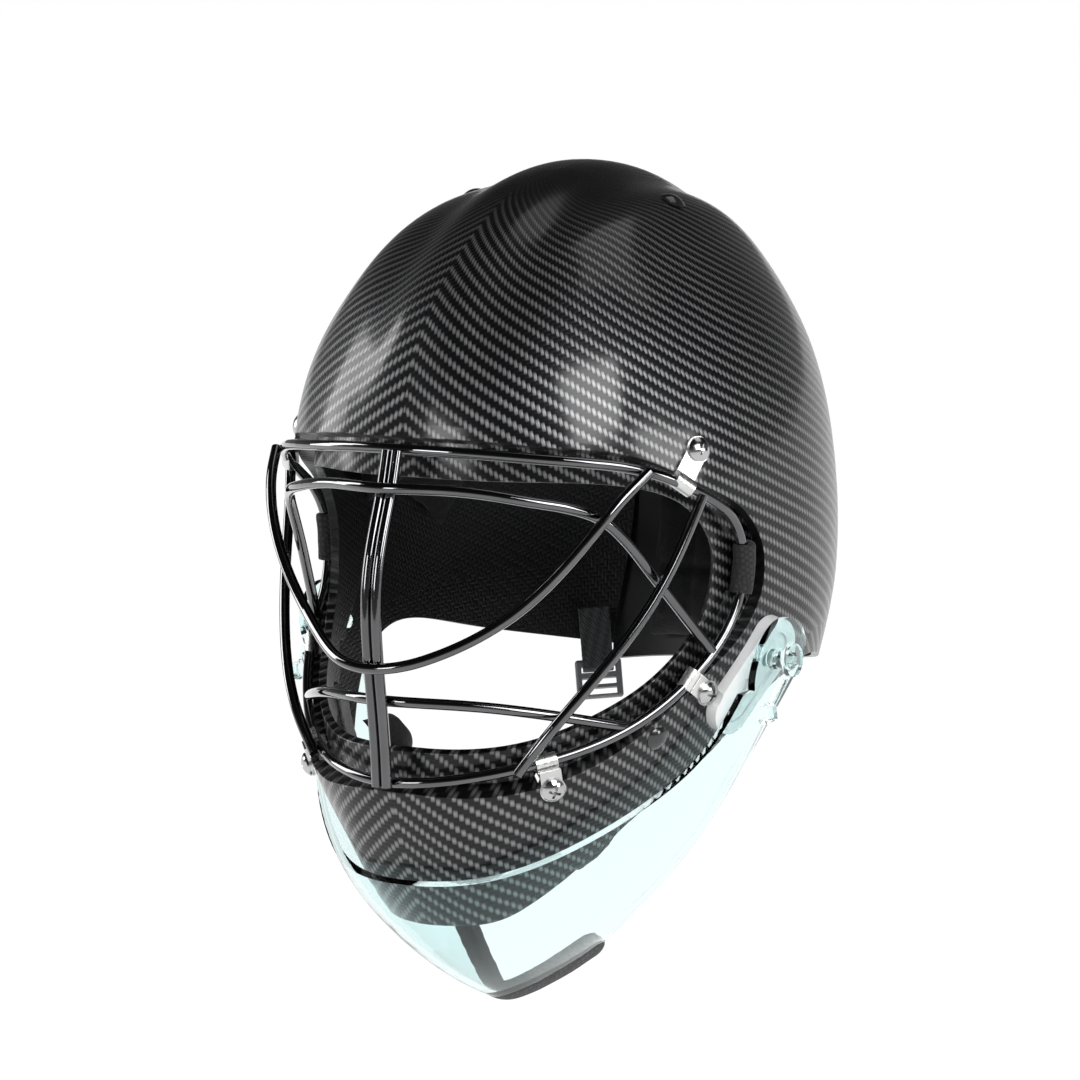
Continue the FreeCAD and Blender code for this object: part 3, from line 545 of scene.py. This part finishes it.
def points_of(mesh: bpy.types.Mesh) -> np.ndarray:
    """Vertex positions as an array of rows."""
    flat = np.empty(len(mesh.vertices) * 3, np.float32)
    mesh.vertices.foreach_get("co", flat)
    return flat.reshape(-1, 3).astype(float)


def normals_of(mesh: bpy.types.Mesh) -> np.ndarray:
    """Vertex normals as an array of rows."""
    flat = np.empty(len(mesh.vertices) * 3, np.float32)
    mesh.vertex_normals.foreach_get("vector", flat)
    return flat.reshape(-1, 3).astype(float)


def move_points(mesh: bpy.types.Mesh, points: np.ndarray) -> None:
    """Write vertex positions back."""
    mesh.vertices.foreach_set("co", points.astype(np.float32).ravel())
    mesh.update()


def baked(piece: bpy.types.Object, **modifiers: dict) -> None:
    """Replace a piece's mesh by what its modifiers make of it.

    Args:
        piece: the mesh object.
        modifiers: Blender's modifier type in lower case, with its settings.
    """
    for kind, settings in modifiers.items():
        made = piece.modifiers.new(kind, kind.upper())
        for name, value in settings.items():
            setattr(made, name, value)
    solved = piece.evaluated_get(bpy.context.evaluated_depsgraph_get())
    mesh = bpy.data.meshes.new_from_object(solved)
    piece.modifiers.clear()
    piece.data = mesh
    mesh.shade_smooth()


def smooth_path(knots: Sequence[Vector], count: int) -> list[Vector]:
    """Evenly spaced points on a smooth line through the knots."""
    fine = []
    padded = [knots[0] * 2 - knots[1], *knots, knots[-1] * 2 - knots[-2]]
    for a, b, c, d in zip(padded, padded[1:], padded[2:], padded[3:]):
        for k in range(24):
            t = k / 24
            fine.append(0.5 * (2 * b + (c - a) * t + (2 * a - 5 * b + 4 * c - d) * t * t
                               + (3 * b - a - 3 * c + d) * t ** 3))
    fine.append(knots[-1].copy())
    gaps = np.array([(q - p).length for p, q in zip(fine, fine[1:])])
    marks = np.concatenate([[0.0], np.cumsum(gaps)])
    rows = np.array([tuple(p) for p in fine])
    wanted = np.linspace(0.0, marks[-1], count)
    return [Vector([float(np.interp(w, marks, rows[:, axis])) for axis in range(3)]) for w in wanted]


def skin_rings(name: str, rings: Sequence[Sequence[Vector]]) -> bpy.types.Object:
    """Closed skin over a row of rings, capped at both ends."""
    mesh, cage = bpy.data.meshes.new(name), bmesh.new()
    rows = [[cage.verts.new(p) for p in ring] for ring in rings]
    for near, far in zip(rows, rows[1:]):
        for k in range(len(near)):
            j = (k + 1) % len(near)
            cage.faces.new((near[k], near[j], far[j], far[k]))
    cage.faces.new(list(reversed(rows[0])))
    cage.faces.new(rows[-1])
    bmesh.ops.recalc_face_normals(cage, faces=cage.faces)
    cage.to_mesh(mesh)
    cage.free()
    return link(name, mesh)


# ---- soft goods ------------------------------------------------------------------------
@dataclass
class SoftCopy:
    """A soft piece that takes its room from a CAD solid and its shape from cloth."""

    node: str
    name: str
    finish: Finish
    voxel: float = 0.005
    shrink: float = 0.0012
    pressure: float = 0.0
    cap: float = 0.006
    ripple: float = 0.0
    channels: int = 0
    groove: float = 0.0022
    groove_width: float = 0.0022
    seam: float = 0.0016
    steps: int = 20

    def build(self) -> bpy.types.Object:
        """Remesh, puff, stitch and dress the piece.

        Returns:
            The finished piece, standing for its CAD solid.
        """
        piece = link(self.name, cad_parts[self.node].data.copy())
        baked(piece, remesh={"mode": "VOXEL", "voxel_size": self.voxel, "adaptivity": 0.0})
        move_points(piece.data, points_of(piece.data) - normals_of(piece.data) * self.shrink)
        baked(piece, corrective_smooth={"factor": 0.5, "iterations": 6, "use_only_smooth": True})
        if self.pressure:
            self.puff(piece)
        if self.pressure:
            baked(piece, subsurf={"levels": 1})
        self.stitch(piece)
        self.finish.dress(piece)
        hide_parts(self.node)
        log.info("%s: %d faces", self.name, len(piece.data.polygons))
        return piece

    def puff(self, piece: bpy.types.Object) -> None:
        """Blow the cover up like cloth, no further than the cap."""
        scene = bpy.context.scene
        before = points_of(piece.data)
        cloth = piece.modifiers.new("puff", "CLOTH")
        cloth.settings.use_pressure = True
        cloth.settings.uniform_pressure_force = self.pressure
        cloth.settings.effector_weights.gravity = 0.0
        cloth.settings.quality = 5
        cloth.point_cache.frame_start, cloth.point_cache.frame_end = 1, self.steps
        for step in range(1, self.steps + 1):
            scene.frame_set(step)
        solved = piece.evaluated_get(bpy.context.evaluated_depsgraph_get())
        move = points_of(solved.data) - before
        size = np.linalg.norm(move, axis=1, keepdims=True)
        move *= np.minimum(1.0, self.cap / np.maximum(size, 1e-9))
        piece.modifiers.clear()
        move_points(piece.data, before + move)
        scene.frame_set(1)

    def stitch(self, piece: bpy.types.Object) -> None:
        """Press sewn channels and small ripples into the cover."""
        points, normals = points_of(piece.data), normals_of(piece.data)
        middle = points.mean(0)
        _, _, axes = np.linalg.svd(points - middle, full_matrices=False)
        local = (points - middle) @ axes.T
        depth = np.zeros(len(points))
        if self.channels:
            half = np.abs(local[:, 0]).max()
            for k in range(self.channels):
                line = half * (2 * (k + 1) / (self.channels + 1) - 1)
                depth += self.groove * np.exp(-((local[:, 0] - line) / self.groove_width) ** 2)
            depth += self.seam * np.exp(-(local[:, 1] / self.groove_width) ** 2)
        if self.ripple:
            depth += [self.ripple * (noise.noise(Vector(p) * 190.0) + 0.5) for p in points]
        move_points(piece.data, points - normals * depth[:, None])


# ---- sub-assemblies ------------------------------------------------------------------------
def carry(names: Sequence[str], finish: Finish) -> None:
    """Give CAD nodes a finish and report each."""
    for name in names:
        finish.dress(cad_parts[name])
        log.info("%s wears %s", name, finish.name)


def pair(name: str) -> list[str]:
    """Left and right names of a paired node."""
    return [name + "_left", name + "_right"]


@dataclass
class CarbonShell:
    """Laminate shell with its crown and jaw studs."""

    def build(self) -> None:
        """Dress the laminate, studs and their washers."""
        carry(["shell"], CARBON)
        carry(["crown_studs", "jaw_studs"], STUD_BLACK)
        carry(["stud_washers"], SCREW_STEEL)


@dataclass
class FaceCage:
    """Welded wire cage with its clips, screws, nuts and foam sleeves."""

    wires: tuple[str, ...] = ("cage_rim_wire", "cage_centre_bars", "cage_brow_bar", "cage_eye_arc",
                              "cage_side_bar_left", "cage_side_bar_right", "cage_lower_bar")
    clips: tuple[str, ...] = ("clip_temple", "clip_cheek", "clip_chin")

    def build(self) -> None:
        """Dress the metal and make the sleeves."""
        carry(self.wires, BLACK_CHROME)
        for clip in self.clips:
            carry(pair(clip), CLIP_STEEL)
        carry(["clip_screws", "clip_nuts"], SCREW_STEEL)
        for node in pair("sleeve"):
            sleeve = SoftCopy(node, "foam_" + node, SLEEVE_FOAM, 0.0009, 0.0002, ripple=0.00025).build()
            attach(sleeve, Body.HELMET.value)


@dataclass
class Padding:
    """Stuffed lining pads inside the shell."""

    pads: dict[str, tuple[float, int]] = field(default_factory=lambda: {
        "forehead_pad": (4.0, 2), "crown_pad": (4.0, 3), "rear_pad": (4.0, 2), "back_pad": (4.0, 2),
        "side_pad_left": (4.0, 2), "side_pad_right": (4.0, 2), "temple_pad_left": (4.0, 0),
        "temple_pad_right": (4.0, 0), "jaw_pad_left": (4.0, 0), "jaw_pad_right": (4.0, 0)})

    def build(self) -> None:
        """Puff and sew every pad."""
        for node, (pressure, channels) in self.pads.items():
            pad = SoftCopy(node, node.replace("pad", "cushion"), LINING, 0.0045, 0.0025,
                           pressure, 0.003, 0.0004, channels).build()
            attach(pad, Body.HELMET.value)


@dataclass
class RearPlate:
    """Plate over the rear opening, and the ladder buckles below it."""

    def build(self) -> None:
        """Dress the plate, its screws and the buckles, and make the webbing tabs."""
        carry(["back_plate"], PLATE_BLACK)
        carry(["back_plate_screws"], SCREW_STEEL)
        carry(pair("buckle"), BUCKLE_GREY)
        for node in pair("buckle_tab"):
            tab = SoftCopy(node, "webbing_" + node, STRAP, 0.0006, 0.0001).build()
            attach(tab, Body.HELMET.value)


@dataclass
class ThroatGuard:
    """Clear sheet on its pegs and mount plates, with a foam edge."""

    hem: tuple[tuple[float, float, float], ...] = (
        (-0.0335, -0.0475, -0.1500), (-0.0300, -0.0500, -0.1530), (-0.0150, -0.0620, -0.1630),
        (0.0, -0.0730, -0.1680), (0.0150, -0.0620, -0.1630), (0.0300, -0.0500, -0.1530),
        (0.0335, -0.0475, -0.1500))
    lift: tuple[float, float, float] = (0.0, 0.0012, 0.0038)
    width: float = 0.0120
    thick: float = 0.0085
    stations: int = 64
    ring_points: int = 20
    end_rounding: float = 5.0

    def build(self) -> None:
        """Dress the clear parts and make the foam edging."""
        carry(["throat_guard"], SHEET_CLEAR)
        carry(pair("guard_peg") + pair("guard_latch"), MOULDING_CLEAR)
        carry(pair("mount_plate"), MOUNT_GREY)
        edging = self.edging()
        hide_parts("guard_edging")
        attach(edging, Body.GUARD.value)

    def edging(self) -> bpy.types.Object:
        """Foam band lying along the lower edge of the sheet.

        Returns:
            The band, rounded at its borders and its two ends.
        """
        spine = smooth_path([Vector(p) + Vector(self.lift) for p in self.hem], self.stations)
        lean = Vector((0.0, 0.885, -0.47))
        rings, last = [], len(spine) - 1
        for k, spot in enumerate(spine):
            run = (spine[min(k + 1, last)] - spine[max(k - 1, 0)]).normalized()
            side = (lean - run * lean.dot(run)).normalized()
            up = run.cross(side).normalized()
            end = min(k, last - k) / self.end_rounding
            close = math.sqrt(max(0.0, 1.0 - (1.0 - min(1.0, end + 0.12)) ** 2))
            ring = []
            for turn in range(self.ring_points):
                a = 2 * math.pi * turn / self.ring_points
                flat = [math.copysign(abs(w) ** 0.6, w) for w in (math.cos(a), math.sin(a))]
                dimple = 1.0 + 0.05 * noise.noise(spot * 160.0 + Vector((turn, 0.0, 0.0)))
                ring.append(spot + (side * (flat[0] * self.width / 2)
                                    + up * (flat[1] * self.thick / 2)) * close * dimple)
            rings.append(ring)
        band = skin_rings("foam_edging", rings)
        baked(band, subsurf={"levels": 1})
        return EDGING_FOAM.dress(band)


@dataclass
class ChinHarness:
    """Chin cup hanging on two webbing straps."""

    def build(self) -> None:
        """Dress the cup and make the straps."""
        carry(["chin_cup"], CUP_BLACK)
        for node in pair("chin_strap"):
            strap = SoftCopy(node, "webbing_" + node, STRAP, 0.0006, 0.0001).build()
            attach(strap, Body.HARNESS.value)


# ---- studio ------------------------------------------------------------------------------
@dataclass(frozen=True)
class SoftLight:
    """Rectangular soft light aimed at the helmet."""

    name: str
    place: tuple[float, float, float]
    aim: tuple[float, float, float]
    size: tuple[float, float]
    power: float

    def build(self) -> None:
        """Hang the light."""
        lamp = bpy.data.lights.new(self.name, "AREA")
        lamp.shape, lamp.size, lamp.size_y = "RECTANGLE", *self.size
        lamp.energy = self.power
        made = bpy.data.objects.new(self.name, lamp)
        made.location = self.place
        turn = (Vector(self.aim) - Vector(self.place)).to_track_quat("-Z", "Y")
        made.rotation_euler = turn.to_euler()
        bpy.context.scene.collection.objects.link(made)


@dataclass
class Studio:
    """Camera, glowing pale floor, soft lights, and surroundings kept bright behind clear plastic."""

    turn: float = math.radians(33.0)
    tilt: float = math.radians(16.0)
    lean: float = math.radians(4.27)
    stand: tuple[float, float, float] = (1.0805, -1.6166, 0.4681)
    lens: float = 163.3
    sensor: float = 36.0
    sight: float = 60.0
    floor_z: float = -0.42
    floor_half: float = 18.0
    floor_shade: float = 0.08
    floor_glow: float = 0.99
    zenith: float = 0.02
    horizon: float = 0.16
    sky_band: tuple[float, float] = (0.05, 0.45)
    clear_lift: float = 0.7
    lights: tuple[SoftLight, ...] = (
        SoftLight("overhead", (0.3, 0.6, 1.5), (0, 0, 0.1), (1.2, 0.8), 3.0),
        SoftLight("left_panel", (-1.6, -0.3, 0.6), (0, 0, 0.05), (0.5, 1.2), 12.0),
        SoftLight("front_panel", (-0.5, -2.1, 0.7), (0, 0, 0.0), (0.6, 0.6), 10.0),
        SoftLight("right_panel", (1.5, -0.7, 1.05), (0, 0, 0.0), (1.0, 1.0), 32.0),
        SoftLight("side_panel", (2.1, 0.1, 0.35), (0, 0, 0.0), (0.5, 0.5), 9.0),
    )

    def build(self) -> None:
        """Set the whole studio."""
        self.camera()
        self.floor()
        for light in self.lights:
            light.build()
        world = bpy.data.worlds.new("soft studio")
        world.use_nodes = True
        g, sky = Graph(world.node_tree), world.node_tree.nodes["Background"]
        split = g.node("SeparateXYZ")
        g.feed(split.inputs[0], g.node("TexCoord").outputs["Generated"])
        dim = g.remap(split.outputs[2], *self.sky_band, (self.horizon, self.zenith))
        through = g.node("LightPath").outputs["Is Transmission Ray"]
        g.feed(sky.inputs["Strength"], g.math("MULTIPLY_ADD", through, self.clear_lift, dim))
        sky.inputs["Color"].default_value = (1.0, 1.0, 1.0, 1.0)
        bpy.context.scene.world = world
        bpy.context.scene.view_settings.view_transform = "Standard"

    def camera(self) -> None:
        """Place the camera by its turn, tilt and lean."""
        ca, sa = math.cos(self.turn), math.sin(self.turn)
        cr, sr = math.cos(self.lean), math.sin(self.lean)
        ct, st = math.cos(self.tilt), math.sin(self.tilt)
        side = Vector((ca * cr, -ca * sr, sa))
        first, second = Vector((sa * cr, -sa * sr, -ca)), Vector((sr, cr, 0.0))
        ahead, above = first * ct + second * st, second * ct - first * st
        rows = Matrix((side, ahead, above))
        data = bpy.data.cameras.new("camera")
        data.lens, data.sensor_width = self.lens, self.sensor
        data.clip_end = self.sight
        made = bpy.data.objects.new("camera", data)
        made.matrix_world = Matrix.Translation(self.stand) @ rows.to_4x4()
        bpy.context.scene.collection.objects.link(made)
        bpy.context.scene.camera = made

    def floor(self) -> None:
        """Lay a wide pale floor that gives light of its own."""
        mesh = bpy.data.meshes.new("floor")
        half = self.floor_half
        corners = [(-half, -half, self.floor_z), (half, -half, self.floor_z),
                   (half, half, self.floor_z), (-half, half, self.floor_z)]
        mesh.from_pydata(corners, [], [(0, 1, 2, 3)])
        made = bpy.data.objects.new("floor", mesh)
        bpy.context.scene.collection.objects.link(made)
        paint = bpy.data.materials.new("pale floor")
        paint.use_nodes = True
        shader = paint.node_tree.nodes["Principled BSDF"]
        shader.inputs["Base Color"].default_value = (*(self.floor_shade,) * 3, 1.0)
        shader.inputs["Roughness"].default_value = 0.9
        shader.inputs["Emission Color"].default_value = (1.0, 1.0, 1.0, 1.0)
        shader.inputs["Emission Strength"].default_value = self.floor_glow
        mesh.materials.append(paint)


def main() -> None:
    """Build the studio and every sub-assembly in order."""
    logging.basicConfig(level=logging.INFO, format="%(message)s")
    Studio().build()
    for part in (CarbonShell(), FaceCage(), Padding(), RearPlate(), ThroatGuard(), ChinHarness()):
        part.build()


if __name__ == "__main__":
    main()
